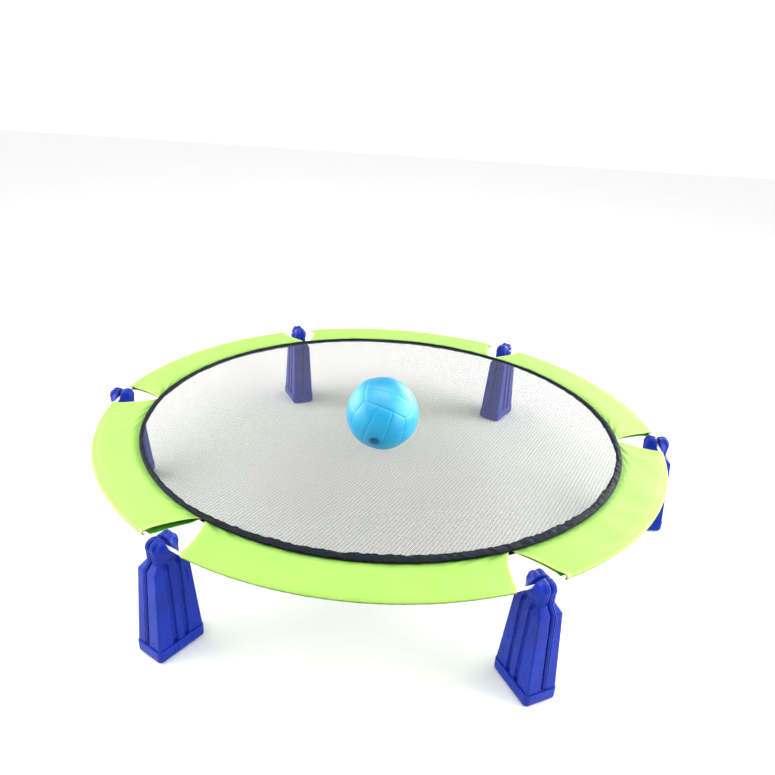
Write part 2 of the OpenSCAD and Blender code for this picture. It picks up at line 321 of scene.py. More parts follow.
# ---- Materials ----
class Finish:
    """A procedural material, whose nodes are added and linked in one call each."""

    def __init__(self, name, **shader):
        self.material = bpy.data.materials.new(name)
        self.material.use_nodes = True
        self.tree = self.material.node_tree
        self.shader = self.tree.nodes["Principled BSDF"]
        self.coords = self.tree.nodes.new("ShaderNodeTexCoord")
        for key, value in shader.items():
            self.shader.inputs[key.replace("_", " ")].default_value = value

    def node(self, kind, inputs, **settings):
        """A node with its inputs set or linked. Returns the node."""
        node = self.tree.nodes.new("ShaderNode" + kind)
        for key, value in settings.items():
            setattr(node, key, value)
        for key, value in inputs.items():
            if isinstance(value, bpy.types.NodeSocket):
                self.tree.links.new(value, node.inputs[key])
            else:
                node.inputs[key].default_value = value
        return node

    def noise(self, scale, detail=3, stretch=(1, 1, 1), place="Object", rough=0.5):
        """Noise over the piece's own coordinates, from 0 to 1."""
        spot = self.node("Mapping", {"Vector": self.coords.outputs[place], "Scale": stretch})
        return self.node("TexNoise", {"Vector": spot.outputs[0], "Scale": scale, "Detail": detail,
                                      "Roughness": rough}).outputs["Fac"]

    def math(self, operation, a, b=0.0, c=0.0):
        return self.node("Math", {0: a, 1: b, 2: c}, operation=operation).outputs[0]

    def span(self, value, low, high, to_low=0.0, to_high=1.0):
        """A value moved from one range to another, and held inside it."""
        return self.node("MapRange", {0: value, 1: low, 2: high, 3: to_low, 4: to_high}).outputs[0]

    def blend(self, share, a, b):
        """Two colours mixed by share, each a socket or linear RGB."""
        mix = self.node("Mix", {0: share}, data_type="RGBA")
        for key, value in (("A", a), ("B", b)):
            socket = [i for i in mix.inputs if i.name == key and i.type == "RGBA"][0]
            if isinstance(value, bpy.types.NodeSocket):
                self.tree.links.new(value, socket)
            else:
                socket.default_value = (*value, 1)
        return [o for o in mix.outputs if o.type == "RGBA"][0]

    def wire(self, **sockets):
        """Links sockets into the shader, by the shader input's name."""
        for key, value in sockets.items():
            self.tree.links.new(value, self.shader.inputs[key.replace("_", " ")])

    def bump(self, height, distance, strength=1.0):
        bump = self.node("Bump", {"Height": height, "Distance": distance, "Strength": strength})
        self.wire(Normal=bump.outputs[0])


def linear(red, green, blue):
    """A colour as scene light, from its red, green and blue on a screen, 0 to 255."""
    return tuple(((c / 255 + 0.055) / 1.055) ** 2.4 if c > 10 else c / 3295
                 for c in (red, green, blue))


# Colours, and the pitch of the cloth's threads, the tape's ribs and the net's cells in metres
WEAVE_PITCH, TAPE_RIB = 0.0012, 0.0016
PLASTIC_DEEP, PLASTIC_FAIR = linear(8, 32, 128), linear(12, 41, 148)
# The crevice colour is painted shade; the rubbed colour is lighter, partly rubbed edges and partly
# painted highlight
PLASTIC_CREVICE_SHADE, PLASTIC_RUB_HIGHLIGHT = linear(5, 14, 82), linear(62, 88, 196)
SLEEVE_DEEP, SLEEVE_FAIR = linear(153, 200, 83), linear(161, 207, 91)
# Painted shade along the binding, a painted highlight along the cut edges, and painted shade under the
# wire
SLEEVE_SEAM_SHADE, SLEEVE_HEM_HIGHLIGHT = linear(108, 170, 56), linear(206, 220, 124)
SLEEVE_UNDER_SHADE = linear(52, 80, 16)
# Painted shade: the sleeves' inner side is a darker green than the outer
INSIDE_SHADE_DEEP, INSIDE_SHADE_FAIR = linear(62, 150, 30), linear(86, 178, 44)
NET_CELL, NET_THREAD, NET_TURN = 0.0019, 0.14, 0.35
NET_ROW, NET_UNEVEN = 0.0050, 0.032
NET_DEEP, NET_FAIR = linear(78, 77, 70), linear(92, 91, 84)
BALL_DEEP, BALL_FAIR = linear(16, 142, 186), linear(24, 155, 198)
# The dish colour is painted shade in the valve's dish
BALL_LINE, BALL_DISH_SHADE = linear(22, 128, 172), linear(6, 92, 134)
TAPE_DEEP, TAPE_FAIR, TAPE_FUZZ = linear(2, 6, 13), linear(8, 16, 29), linear(24, 38, 66)
VALVE_DEEP, VALVE_FAIR = linear(8, 84, 122), linear(16, 102, 144)
SLEEVE_THREAD, TAPE_THREAD = linear(160, 205, 70), linear(10, 16, 28)


def moulded_plastic():
    f = Finish("Satin_plastic", Roughness=0.32, IOR=1.46, Specular_IOR_Level=0.17)
    cloud = f.noise(22, 3)
    grain = f.noise(900, 2)
    scuff = f.noise(40, 4, stretch=(1, 1, 0.25), rough=0.7)
    edge = f.node("NewGeometry", {}).outputs["Pointiness"]
    # Lighter on the outward-curving edges, patchy by the scuff noise: partly rubbed edges, partly a
    # painted highlight
    rub_and_highlight = f.math("MULTIPLY", f.span(edge, 0.53, 0.62), f.span(scuff, 0.4, 0.62))
    body = f.blend(f.span(cloud, 0.3, 0.7), PLASTIC_DEEP, PLASTIC_FAIR)
    # Painted shade: darker where the surface curves in, in the channels and crevices
    body = f.blend(f.span(edge, 0.30, 0.44), PLASTIC_CREVICE_SHADE, body)
    f.wire(Base_Color=f.blend(f.math("MULTIPLY", rub_and_highlight, 0.6), body, PLASTIC_RUB_HIGHLIGHT))
    f.wire(Roughness=f.span(scuff, 0.35, 0.7, 0.26, 0.4))
    f.bump(f.math("ADD", f.math("MULTIPLY", cloud, 1.5), f.math("MULTIPLY", grain, 0.2)), 0.0004, 0.35)
    return f.material


def coated_wire():
    f = Finish("White_coated_wire", Roughness=0.28, IOR=1.5)
    specks = f.noise(700, 3)
    stain = f.noise(18, 3)
    f.wire(Base_Color=f.blend(f.span(stain, 0.35, 0.75), (0.84, 0.84, 0.83), (0.72, 0.72, 0.70)))
    f.wire(Roughness=f.span(specks, 0.3, 0.7, 0.22, 0.42))
    f.bump(specks, 0.0002, 0.5)
    return f.material


def drawn_tube():
    f = Finish("Drawn_aluminium", Metallic=1.0, Roughness=0.3)
    streak = f.noise(500, 3, stretch=(0.05, 1, 1))
    f.wire(Base_Color=f.blend(streak, (0.62, 0.63, 0.65), (0.78, 0.79, 0.8)))
    f.wire(Roughness=f.span(streak, 0.3, 0.7, 0.22, 0.45))
    f.bump(streak, 0.0001, 0.6)
    return f.material


def sleeve_cloth():
    """Lime cloth with a plain weave and a stitched hem, darker on its inside as painted shade, with
    painted shade along the binding and under the wire and a painted highlight along its cut edges.
    """
    f = Finish("Lime_cloth", Roughness=0.65, Specular_IOR_Level=0.28, Sheen_Weight=0.12,
               Sheen_Roughness=0.45)
    f.shader.inputs["Sheen Tint"].default_value = (0.86, 1.0, 0.62, 1)
    uv = f.node("SeparateXYZ", {"Vector": f.coords.outputs["UV"]}).outputs
    threads = [f.math("SINE", f.math("MULTIPLY", axis, 2 * math.pi / WEAVE_PITCH))
               for axis in (uv[0], uv[1])]
    weave = f.math("MULTIPLY", threads[0], threads[1])
    slub = f.noise(420, 3, stretch=(1, 0.12, 1), place="UV")
    cloud = f.noise(9, 4)
    base = f.blend(f.span(cloud, 0.3, 0.7), SLEEVE_DEEP, SLEEVE_FAIR)
    base = f.blend(f.math("MULTIPLY", f.span(slub, 0.45, 0.75), 0.25), base, SLEEVE_DEEP)
    shade = f.node("VertexColor", {}, layer_name="Painted_light").outputs["Color"]
    rgb = f.node("SeparateColor", {"Color": shade}).outputs
    # Painted shade in a band along the binding, where the cloth dips under the tape's roll
    base = f.blend(rgb[0], base, SLEEVE_SEAM_SHADE)
    # Painted highlight: a pale line along the sleeve's cut edges
    base = f.blend(rgb[1], base, SLEEVE_HEM_HIGHLIGHT)
    # Painted shade: a dark olive line on the underside of the wrap round the wire
    base = f.blend(rgb[2], base, SLEEVE_UNDER_SHADE)
    f.wire(Base_Color=base)
    f.wire(Roughness=f.span(slub, 0.3, 0.8, 0.58, 0.74))
    f.bump(f.math("ADD", f.math("MULTIPLY", weave, 0.5), slub), 0.00025, 0.5)
    return f.material


def sleeve_inside_shade():
    """The inner side of the sleeves, painted a darker green as shade, where hardly any light comes in.
    """
    f = Finish("Lime_cloth_inside_shade", Roughness=0.85)
    slub = f.noise(420, 3, stretch=(1, 0.12, 1), place="UV")
    f.wire(Base_Color=f.blend(f.span(slub, 0.3, 0.7), INSIDE_SHADE_DEEP, INSIDE_SHADE_FAIR))
    f.wire(Roughness=f.span(slub, 0.3, 0.8, 0.78, 0.9))
    f.bump(slub, 0.00025, 0.5)
    return f.material


def navy_tape():
    f = Finish("Navy_tape", Roughness=0.42, Specular_IOR_Level=0.1, Sheen_Weight=0.01,
               Sheen_Roughness=0.4)
    f.shader.inputs["Sheen Tint"].default_value = (0.55, 0.68, 1.0, 1)
    uv = f.node("SeparateXYZ", {"Vector": f.coords.outputs["UV"]}).outputs
    ribs = f.math("SINE", f.math("MULTIPLY", uv[0], 2 * math.pi / TAPE_RIB))
    cloud = f.noise(60, 4)
    fuzz = f.noise(900, 2)
    base = f.blend(f.span(cloud, 0.3, 0.7), TAPE_DEEP, TAPE_FAIR)
    f.wire(Base_Color=f.blend(f.math("MULTIPLY", f.span(fuzz, 0.5, 0.8), 0.15), base, TAPE_FUZZ))
    f.wire(Roughness=f.span(cloud, 0.3, 0.7, 0.45, 0.7))
    f.bump(f.math("ADD", f.math("MULTIPLY", ribs, 0.35), f.math("ADD", fuzz, cloud)), 0.0003, 0.6)
    return f.material


def thread_finish(name, colour):
    f = Finish(name, Roughness=0.6, Specular_IOR_Level=0.3, Sheen_Weight=0.05)
    twist = f.noise(1400, 2)
    f.wire(Base_Color=f.blend(twist, colour, tuple(c * 0.7 for c in colour)))
    f.bump(twist, 0.0002, 0.6)
    return f.material


def open_mesh():
    """Fine grey netting: threads round small six-sided holes, and nothing between them."""
    f = Finish("Grey_netting", Roughness=0.8, Specular_IOR_Level=0.1)
    flat = f.node("Mapping", {"Vector": f.coords.outputs["UV"], "Rotation": (0, 0, NET_TURN),
                              "Scale": (1 / NET_CELL, 1 / (NET_CELL * 0.87), 1)}).outputs[0]
    cells = f.node("TexVoronoi", {"Vector": flat, "Scale": 1.0, "Randomness": 0.12},
                   voronoi_dimensions="2D", feature="DISTANCE_TO_EDGE").outputs["Distance"]
    across = f.node("SeparateXYZ", {"Vector": flat}).outputs
    rows = [f.math("SINE", f.math("MULTIPLY", across[n], 2 * math.pi * NET_CELL / NET_ROW))
            for n in (0, 1)]
    uneven = f.math("MULTIPLY", f.math("ADD", rows[0], f.math("MULTIPLY", rows[1], 0.5)), NET_UNEVEN)
    thread = f.math("LESS_THAN", f.math("SUBTRACT", cells, uneven), NET_THREAD)
    tint = f.noise(7, 4)
    fuzz = f.noise(1200, 2)
    base = f.blend(f.span(tint, 0.3, 0.7), NET_DEEP, NET_FAIR)
    f.wire(Base_Color=base, Alpha=thread)
    f.wire(Roughness=f.span(fuzz, 0.3, 0.7, 0.72, 0.9))
    f.bump(f.math("SUBTRACT", f.math("MULTIPLY", fuzz, 0.2), cells), 0.0005, 0.7)
    return f.material


def ball_vinyl():
    f = Finish("Light_blue_vinyl", Roughness=0.38, IOR=1.5, Subsurface_Weight=0.1, Subsurface_Scale=0.01)
    f.shader.inputs["Subsurface Radius"].default_value = (0.3, 0.8, 1.0)
    cloud = f.noise(14, 3)
    pores = f.noise(650, 3)
    edge = f.node("NewGeometry", {}).outputs["Pointiness"]
    base = f.blend(f.span(cloud, 0.3, 0.7), BALL_DEEP, BALL_FAIR)
    base = f.blend(f.span(edge, 0.44, 0.495), BALL_LINE, base)
    shade = f.node("VertexColor", {}, layer_name="Painted_light").outputs["Color"]
    dish = f.node("SeparateColor", {"Color": shade}).outputs[0]
    # Painted shade in the valve's dish
    f.wire(Base_Color=f.blend(dish, base, BALL_DISH_SHADE))
    f.wire(Roughness=f.span(pores, 0.3, 0.7, 0.33, 0.44))
    f.bump(f.math("ADD", f.math("MULTIPLY", pores, 0.3), cloud), 0.0003, 0.4)
    return f.material


def valve_vinyl():
    f = Finish("Valve_vinyl", Roughness=0.5, Specular_IOR_Level=0.2)
    pores = f.noise(500, 3)
    f.wire(Base_Color=f.blend(pores, VALVE_DEEP, VALVE_FAIR))
    f.wire(Roughness=f.span(pores, 0.3, 0.7, 0.42, 0.6))
    f.bump(pores, 0.0003, 0.5)
    return f.material


plastic = moulded_plastic()
cloth, cloth_inside_shade = sleeve_cloth(), sleeve_inside_shade()
tape = navy_tape()
netting = open_mesh()
vinyl = ball_vinyl()
plug = valve_vinyl()
sleeve_thread = thread_finish("Lime_thread", SLEEVE_THREAD)
tape_thread = thread_finish("Navy_thread", TAPE_THREAD)

# ---- Holders ----
half_low = (-SHELL_W / 2, -SHELL_STEP, FOOT_H)
half_high = (SHELL_W / 2, SHELL_T / 2 + 1, EAR_TOP + 1)
HALVES = [moulding(lambda x, y, z, ribs=ribs: half_shell(x, y, z, ribs),
                   half_low, half_high, SHELL_STEP, SHELL_KEEP) for ribs in (False, True)]
FOOT = moulding(foot_block, (-FOOT_W / 2, -FOOT_T / 2, 0), (FOOT_W / 2, FOOT_T / 2, SPIGOT_TOP),
                FOOT_STEP, FOOT_KEEP)
RIBS_ON_RIGHT = (True, True, False, True, False, True)
for i in range(HOLDERS):
    body = f"holder_{i + 1}"
    put_moulding(body + "_left_shell", body, HALVES[not RIBS_ON_RIGHT[i]], i, -1)
    put_moulding(body + "_right_shell", body, HALVES[RIBS_ON_RIGHT[i]], i, 1)
    put_moulding(body + "_foot", body, FOOT, i, 1)

# ---- Wire ----
for node, material in (("hoop_wire", coated_wire()), ("hoop_ferrule", drawn_tube())):
    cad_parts[node].data.materials.clear()
    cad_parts[node].data.materials.append(material)

# ---- Sleeves ----
GAP_RIM, GAP_HEM, GAP_BOW = 0.035, 0.002, 0.004
HEM_R = TAPE_OUT + 0.0003
HEM_Z = 0.0008
CLOTH_T = 0.0005
SLEEVE_ROWS, SLEEVE_ROUND, SLEEVE_COLUMNS = 44, 11, 230
SLEEVE_CROWN, SLEEVE_SWELL, SLEEVE_RIPPLE = 0.0016, 0.0006, 0.0007
FAN_HEIGHT, FAN_PITCH, FAN_SPREAD, FAN_REACH = 0.0024, 0.0035, 0.22, 0.05
GATHER_HEIGHT, HEM_HEIGHT = 0.0007, 0.0003
MOUTH_REACH, MOUTH_UP, MOUTH_DOWN, SHUT_REACH = 0.020, 0.0002, -0.0006, 0.05
UNDER_DROP, UNDER_PULL = 0.0007, 0.0004
# How strong the painted shade along the binding is on the upper and lower ply, then the painted
# highlight along the cut edges and the painted shade under the wire
SEAM_SHADE_UPPER, SEAM_SHADE_LOWER, EDGE_HIGHLIGHT_SHARE, UNDER_SHADE_SHARE = 0.75, 0.5, 0.5, 0.95
# How far each sleeve's two mouths are pressed shut, from 0 to 1
MOUTH_SHUT = ((0.6, 0.6), (0.6, 0.6), (0.6, 0.65), (0.6, 0.1), (0.5, 0.5), (0.7, 0.5))
chord = Vector((HOOP_R - TAPE_OUT, GAP_RIM - GAP_HEM))
ARC_R = chord.length_squared / (8 * GAP_BOW) + GAP_BOW / 2
ARC_X = (TAPE_OUT + HOOP_R) / 2 + chord.y / chord.length * (ARC_R - GAP_BOW)
ARC_Y = (GAP_RIM + GAP_HEM) / 2 - chord.x / chord.length * (ARC_R - GAP_BOW)


def notch_angle(r):
    """Angle from the middle of a notch to its edge, at each distance from the hoop's axis."""
    x = r
    for _ in range(4):
        y = ARC_Y + np.sqrt(ARC_R ** 2 - (x - ARC_X) ** 2)
        x = np.sqrt(r ** 2 - y ** 2)
    return np.arctan2(y, x)


def sleeve_section(rows_flat, rows_round):
    """The sleeve's section, from the upper hem round the wire to the lower: distance out and height."""
    lean = math.asin((WRAP_R - HEM_Z) / (RING_R - HEM_R))
    along = np.linspace(0, 1, rows_flat)
    r_top, z_top = RING_R - math.sin(lean) * WRAP_R, math.cos(lean) * WRAP_R
    upper = np.stack([HEM_R + (r_top - HEM_R) * along, HEM_Z + (z_top - HEM_Z) * along], 1)
    turn = np.linspace(math.pi / 2 + lean, -math.pi / 2 - lean, rows_round + 2)[1:-1]
    round_it = np.stack([RING_R + WRAP_R * np.cos(turn), WRAP_R * np.sin(turn)], 1)
    return np.concatenate([upper, round_it, (upper * [1, -1])[::-1]])


def sleeve_lift(run, from_edge, from_hem, flat, upper, seed):
    """How far the cloth stands off its flat shape: crown, ripples, fanned creases, gathers and hems."""
    way = np.where(upper, 1.0, -1.0)
    crown = smoothstep(0, 0.014, from_hem) * flat
    lift = way * crown * (SLEEVE_CROWN + SLEEVE_SWELL * wave_noise(run, from_hem, seed, 9))
    lift = lift - np.where(upper, 0, crown * SLEEVE_CROWN)
    lift = lift + crown * SLEEVE_RIPPLE * wave_noise(run, from_hem * 0.5 + 2, seed + 9, 26)
    fan = (np.exp(-from_edge / FAN_REACH) * np.exp(-from_hem / 0.02)
           * smoothstep(0, 0.004, from_hem))
    lift = lift + fan * FAN_HEIGHT * np.sin(from_edge / (FAN_PITCH + FAN_SPREAD * from_hem) + seed)
    gather = smoothstep(0, 0.003, from_hem) * np.exp(-from_hem / 0.011)
    lift = lift + gather * GATHER_HEIGHT * wave_noise(run, from_hem * 0.2, seed + 4, 95)
    mouth = np.exp(-from_edge / MOUTH_REACH) * smoothstep(0, 0.03, from_hem) * flat
    lift = lift + mouth * np.where(upper, MOUTH_UP, MOUTH_DOWN)
    hem = 1 - smoothstep(0.0040, 0.0052, from_edge)
    return lift + way * hem * HEM_HEIGHT * smoothstep(0, 0.004, from_hem)


def make_sleeve(k):
    """A sleeve: one strip of cloth folded round the wire, its two edges meeting at the binding."""
    section = sleeve_section(SLEEVE_ROWS, SLEEVE_ROUND)
    step = np.linalg.norm(np.diff(section, axis=0), axis=1)
    down = np.concatenate([[0], np.cumsum(step)])
    columns = SLEEVE_COLUMNS
    s = np.linspace(0, 1, columns)
    s = s - 0.0175 * np.sin(4 * math.pi * s)
    r, z = (np.broadcast_to(section[:, n, None], (len(section), columns)) for n in (0, 1))
    edge = notch_angle(np.minimum(section[:, 0], HOOP_R))[:, None]
    share = s[None, :]
    angle = edge + share * (PITCH - 2 * edge)
    from_edge = np.minimum(share, 1 - share) * (PITCH - 2 * edge) * r
    from_hem = r - HEM_R
    to_wire = RING_R - r
    upper = z > 0
    seed = 3.7 * (k + 1)
    run = angle * 0.42
    flat = smoothstep(0, 0.012, to_wire)
    lift = sleeve_lift(run, from_edge, from_hem, flat, upper, seed)
    under = smoothstep(-0.2, 0.9, -z / WRAP_R) * smoothstep(0.018, 0.003, abs(to_wire))
    ripple = under * wave_noise(run, 0 * r, seed + 2, 150)
    shut = np.where(share < 0.5, *MOUTH_SHUT[k]) * np.exp(-from_edge / SHUT_REACH) * flat
    height = (z + lift) * (1 - shut) - UNDER_DROP * np.maximum(ripple, 0) + WIRE_H
    reach = r - UNDER_PULL * ripple
    turned = angle + k * PITCH
    points = np.stack([reach * np.cos(turned), reach * np.sin(turned), height], -1).reshape(-1, 3)
    piece = add_piece(f"Cloth_sleeve_{k + 1}", points,
                      grid_faces(len(section), columns), "hoop")
    add_uv(piece, np.stack([(angle * r).ravel(), np.repeat(down, columns)], 1))
    # Painted shade in a band along the binding, stronger on the upper ply
    seam = (np.where(upper, SEAM_SHADE_UPPER, SEAM_SHADE_LOWER)
            * (1 - smoothstep(0.001, 0.013, from_hem)))
    # Painted highlight: a pale line along the sleeve's cut edges
    edge_highlight = EDGE_HIGHLIGHT_SHARE * (1 - smoothstep(0.0035, 0.0080, from_edge))
    # Painted shade: a dark olive line on the underside of the wrap round the wire
    under_shade = (UNDER_SHADE_SHARE * smoothstep(-0.3, 0.3, -z / WRAP_R)
             * smoothstep(0.008, 0.002, abs(to_wire)))
    add_painted_light(piece, np.stack([seam, edge_highlight, under_shade, np.ones_like(r)], -1).reshape(-1, 4))
    thick = piece.modifiers.new("Cloth", "SOLIDIFY")
    thick.thickness, thick.offset, thick.use_even_offset = CLOTH_T, -1, True
    # The faces added by the thickening take the second material, painted darker as shade
    thick.material_offset = 1
    finish_with(piece, cloth)
    piece.data.materials.append(cloth_inside_shade)
    apply_modifiers(piece)
    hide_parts(f"sleeve_{k + 1}")
    return piece, points.reshape(len(section), columns, 3), from_edge


# Along each stitch: share of its length, girth and rise
STITCH_PROFILE = ((0, 0.35, 0.0), (0.12, 0.9, 0.5), (0.5, 1, 1), (0.88, 0.9, 0.5), (1, 0.35, 0.0))
STITCH_HALF = 0.36


def stitch_run(path, up, pitch, size, lift):
    """Points and faces of a row of stitches laid along a path, each a small rounded bar."""
    step = np.concatenate([[0], np.cumsum(np.linalg.norm(np.diff(path, axis=0), axis=1))])
    points, faces = [], []
    up = np.array(up)
    ring = [(math.cos(a), math.sin(a)) for a in np.arange(6) * math.pi / 3]
    bar = [(a * 6 + b, a * 6 + (b + 1) % 6, a * 6 + 6 + (b + 1) % 6, a * 6 + 6 + b)
           for a in range(len(STITCH_PROFILE) - 1) for b in range(6)]
    bar += [(5, 4, 3, 2, 1, 0), (24, 25, 26, 27, 28, 29)]
    for at in np.arange(pitch, step[-1] - pitch, pitch):
        ends = [np.array([np.interp(at + off, step, path[:, n]) for n in range(3)])
                for off in (-STITCH_HALF * pitch, STITCH_HALF * pitch)]
        ahead = (ends[1] - ends[0]) / np.linalg.norm(ends[1] - ends[0])
        side = np.cross(up, ahead)
        start = len(points)
        for share, girth, rise in STITCH_PROFILE:
            middle = ends[0] + share * (ends[1] - ends[0]) + up * (lift * rise)
            points += [middle + size * girth * (a * side + b * up) for a, b in ring]
        faces += [tuple(start + n for n in face) for face in bar]
    return points, faces


def add_stitches(name, runs, material):
    """One piece holding every stitch of the given runs."""
    points, faces = [], []
    for path, up, pitch, size, lift in runs:
        more, sides = stitch_run(path, up, pitch, size, lift)
        faces += [tuple(n + len(points) for n in face) for face in sides]
        points += more
    piece = add_piece(name, points, faces, "hoop")
    finish_with(piece, material)
    return piece


STITCH, STITCH_R, STITCH_RISE = 0.0036, 0.00028, 0.0001
HEM_INSET, HEM_SEARCH = 0.0036, 60
for k in range(HOLDERS):
    piece, grid, from_edge = make_sleeve(k)
    rows = range(3, SLEEVE_ROWS - 2)
    inset = [np.array([[np.interp(HEM_INSET, from_edge[row][::way][:HEM_SEARCH],
                                  grid[row, ::way][:HEM_SEARCH, n])
                        for n in range(3)] for row in rows]) for way in (1, -1)]
    runs = [(path + [0, 0, STITCH_RISE], (0, 0, 1), STITCH, STITCH_R, STITCH_RISE) for path in inset]
    threads = add_stitches(f"Stitches_sleeve_{k + 1}", runs, sleeve_thread)

# ---- Binding ----
TAPE_MID = (TAPE_OUT + NET_R) / 2
TAPE_HALF_W = (TAPE_OUT - NET_R) / 2
TAPE_WIDEST = math.radians(288)
TAPE_W_REAR, TAPE_W_GAIN, TAPE_H_REAR, TAPE_H_GAIN = 0.55, 0.98, 0.96, 0.68
TAPE_LAP, TAPE_OUT_GAIN, TAPE_UP_GAIN = 0.0008, 0.0034, 0.0012
TAPE_STITCH, TAPE_STITCH_R, TAPE_STITCH_RISE = 0.0042, 0.0003, 0.0002


def make_binding():
    """The binding: one tape folded over the net's edge, with its two edges at the sleeves' hems."""
    around, across = 1500, 34
    turn = np.linspace(0, 2 * math.pi, around, endpoint=False)[:, None]
    psi = np.linspace(0.10 * math.pi, 1.90 * math.pi, across)[None, :]
    wide = np.sign(np.cos(psi)) * abs(np.cos(psi)) ** 0.8
    tall = np.sign(np.sin(psi)) * abs(np.sin(psi)) ** 0.75
    run, way = np.broadcast_arrays(turn * TAPE_MID, psi)
    x, y = np.cos(turn) * TAPE_MID + 0 * psi, np.sin(turn) * TAPE_MID + 0 * psi
    slow = wave_noise(x[:, :1], y[:, :1], 1.5, 11)
    quick = wave_noise(x[:, :1], y[:, :1], 7.5, 42)
    facing = (0.5 - 0.5 * np.cos(turn - TAPE_WIDEST - math.pi)) ** 3
    half_w = TAPE_HALF_W * (TAPE_W_REAR + TAPE_W_GAIN * facing + 0.10 * slow
                            + 0.05 * quick * (np.cos(psi) < 0))
    half_h = TAPE_HALF * (TAPE_H_REAR + TAPE_H_GAIN * facing
                          + 0.10 * wave_noise(x[:, :1], y[:, :1], 4.5, 24))
    crease = wave_noise(x + 0.02 * np.cos(psi), y + 0.02 * np.sin(psi), 2.2, 70)
    fold = wave_noise(x + 0.008 * psi, y - 0.006 * psi, 9.1, 130)
    puff = 1 + 0.08 * crease + 0.11 * fold
    r = (TAPE_OUT + TAPE_LAP + TAPE_OUT_GAIN * facing - half_w
         + half_w * wide * np.where(wide < 0, puff, 1))
    z = WIRE_H + TAPE_UP_GAIN * facing + half_h * tall * puff
    grid = np.stack([r * np.cos(turn), r * np.sin(turn), z], -1)
    faces = grid_faces(around, across, wrap_rows=True)
    piece = add_piece("Binding_tape", grid.reshape(-1, 3), faces, "hoop")
    add_uv(piece, np.stack([run.ravel(), (way * 0.004).ravel()], 1))
    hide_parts("net_binding")
    finish_with(piece, tape)
    line = np.concatenate([grid[:, 3], grid[:1, 3]])
    seam = (line, (0, 0, 1), TAPE_STITCH, TAPE_STITCH_R, TAPE_STITCH_RISE)
    threads = add_stitches("Stitches_binding", [seam], tape_thread)


make_binding()


# ---- Net ----
NET_RINGS, NET_SPOKES = 120, 420
NET_TUCK, RIM_RIPPLE, NET_WAVE, BALL_CLEARANCE = 0.005, 0.0009, 0.0006, 0.0003


def make_net():
    """The net: one round sheet stretched to the binding, dipping a little in the middle."""
    rings, spokes = NET_RINGS, NET_SPOKES
    share = np.linspace(0, 1, rings + 1)[1:]
    r = ((NET_R + NET_TUCK) * share)[:, None]
    turn = np.linspace(0, 2 * math.pi, spokes, endpoint=False)[None, :]
    x, y = r * np.cos(turn), r * np.sin(turn)
    dip = -NET_SAG * (1 - (r / NET_R) ** 2)
    rim = smoothstep(0.55, 0.97, r / NET_R) * (1 - smoothstep(0.985, 1.0, r / NET_R))
    radial = wave_noise(np.cos(turn) * 0.37 + 0 * r, np.sin(turn) * 0.37 + 0 * r, 5.5, 38)
    wave = NET_WAVE * wave_noise(x, y, 3.3, 9) * (1 - smoothstep(0.9, 1, r / NET_R))
    z = dip + rim * RIM_RIPPLE * radial + wave
    clear = BALL_REACH ** 2 - np.minimum((x - BALL_C.x) ** 2 + (y - BALL_C.y) ** 2, BALL_REACH ** 2)
    under_ball = BALL_C.z - np.sqrt(clear) - BALL_CLEARANCE - WIRE_H
    z = np.where(clear > 0, np.minimum(z, under_ball), z)
    points = np.stack([x, y, z + WIRE_H], -1).reshape(-1, 3)
    centre = np.array([[0, 0, WIRE_H - NET_SAG]])
    faces = [tuple(n + 1 for n in f) for f in grid_faces(rings, spokes, wrap_columns=True)]
    faces += [(0, 1 + j, 1 + (j + 1) % spokes) for j in range(spokes)]
    points = np.concatenate([centre, points])
    piece = add_piece("Net_sheet", points, faces, "hoop")
    add_uv(piece, points[:, :2])
    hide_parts("net_mesh")
    finish_with(piece, netting)


make_net()

# ---- Ball ----
PANEL_FRONT = Vector((-0.091, -0.979, -0.18)).normalized()
PANEL_UP = Vector((0.313, -0.2, 0.929))
PANEL_UP = (PANEL_UP - PANEL_UP.dot(PANEL_FRONT) * PANEL_FRONT).normalized()
PANEL_AXES = [PANEL_FRONT, PANEL_UP, PANEL_FRONT.cross(PANEL_UP)]
DISH_R, DISH_DEPTH, DISH_INNER, DISH_LIP = 0.008, 0.0030, 0.0035, 0.0012
GROOVE_W, GROOVE_D, PANEL_PUFF, SKIN_SWAY = 0.0017, 0.0005, 0.0002, 0.0007
PANEL_CELLS, WELD_REACH = 128, 0.00002


def panel_distance(u, v):
    """Distance in metres to the nearest panel line, u across and v along one face of the ball."""
    quarter = BALL_R * math.pi / 4
    return np.minimum(np.minimum(abs(abs(u) - 1 / 3), 1 - abs(u)), 1 - abs(v)) * quarter


